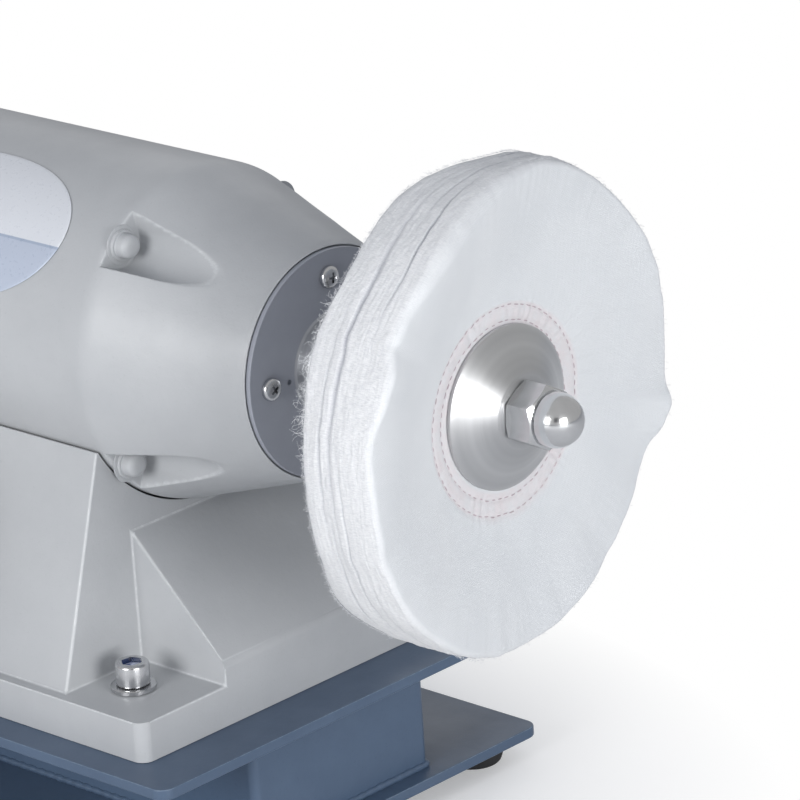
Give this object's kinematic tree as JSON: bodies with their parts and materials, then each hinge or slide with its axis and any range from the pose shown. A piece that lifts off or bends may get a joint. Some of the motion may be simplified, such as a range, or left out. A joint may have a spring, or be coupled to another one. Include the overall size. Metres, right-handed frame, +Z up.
{
  "type": "bench buffer",
  "caption": "Bench buffer: a motor on a cast pedestal and steel stand turns a spindle with a sewn cloth polishing wheel, flanges and domed nut at each end.",
  "frame": {"origin": "on the surface that the buffer stands on, below the middle of the motor", "axes": "+X along the spindle towards the right wheel, +Y towards the back, +Z up"},
  "size_m": [0.7324, 0.28, 0.3932],
  "materials": {
    "foot_rubber": "black rubber",
    "stand_paint": "dark blue paint on steel",
    "casting_paint": "light grey satin paint on cast iron",
    "cover_paint": "slate grey satin paint",
    "turned_steel": "turned, with fine circular lines",
    "nut_chrome": "bright plating",
    "screw_zinc": "bright zinc plating",
    "wheel_cotton": "white cotton plies, sewn near the hub",
    "label_face": "blank white satin plate",
    "black_plastic": "black moulded plastic",
    "green_plastic": "green push button",
    "red_plastic": "red push button",
    "laminations": "stacked steel laminations",
    "winding_copper": "varnished copper windings"
  },
  "bodies": {
    "frame": {"rubber_foot_front_right": "foot_rubber", "rubber_foot_front_left": "foot_rubber", "rubber_foot_rear_right": "foot_rubber", "rubber_foot_rear_left": "foot_rubber", "stand_floor_plate": "stand_paint", "stand_column": "stand_paint", "stand_top_plate": "stand_paint", "pedestal": "casting_paint", "hold_screw_1": "screw_zinc", "hold_washer_1": "screw_zinc", "hold_screw_2": "screw_zinc", "hold_washer_2": "screw_zinc", "hold_screw_3": "screw_zinc", "hold_washer_3": "screw_zinc", "hold_screw_4": "screw_zinc", "hold_washer_4": "screw_zinc", "motor_frame": "casting_paint", "stator_core": "laminations", "right_winding": "winding_copper", "left_winding": "winding_copper", "label_plate": "label_face", "right_end_bell": "casting_paint", "right_bearing_cover": "cover_paint", "right_bell_bolt_1": "casting_paint", "right_cover_screw_1": "screw_zinc", "right_bell_bolt_2": "casting_paint", "right_cover_screw_2": "screw_zinc", "right_bell_bolt_3": "casting_paint", "right_cover_screw_3": "screw_zinc", "right_bell_bolt_4": "casting_paint", "right_cover_screw_4": "screw_zinc", "right_bearing_outer_ring": "turned_steel", "left_end_bell": "casting_paint", "left_bearing_cover": "cover_paint", "left_bell_bolt_1": "casting_paint", "left_cover_screw_1": "screw_zinc", "left_bell_bolt_2": "casting_paint", "left_cover_screw_2": "screw_zinc", "left_bell_bolt_3": "casting_paint", "left_cover_screw_3": "screw_zinc", "left_bell_bolt_4": "casting_paint", "left_cover_screw_4": "screw_zinc", "left_bearing_outer_ring": "turned_steel", "switch_housing": "black_plastic", "cable_gland": "black_plastic"},
    "spindle": {"spindle_shaft": "turned_steel", "rotor_core": "laminations", "right_bearing_inner_ring": "turned_steel", "right_inner_flange": "turned_steel", "right_polishing_wheel": "wheel_cotton", "right_outer_flange": "turned_steel", "right_dome_nut": "nut_chrome", "left_bearing_inner_ring": "turned_steel", "left_inner_flange": "turned_steel", "left_polishing_wheel": "wheel_cotton", "left_outer_flange": "turned_steel", "left_dome_nut": "nut_chrome"},
    "start_button": {"start_button": "green_plastic"},
    "stop_button": {"stop_button": "red_plastic"}
  },
  "joints": [
    {"name": "spindle_spin", "type": "hinge", "parent": "frame", "child": "spindle", "pos_m": [0, 0, 0.2682], "axis": [1, 0, 0], "continuous": true},
    {"name": "start_button_press", "type": "slide", "parent": "frame", "child": "start_button", "axis": [0, 0.9597, -0.281], "range_m": [0, 0.004], "stiffness_N_per_m": 400, "springref_m": -0.003},
    {"name": "stop_button_press", "type": "slide", "parent": "frame", "child": "stop_button", "axis": [0, 0.9597, -0.281], "range_m": [0, 0.004], "stiffness_N_per_m": 400, "springref_m": -0.003}
  ]
}
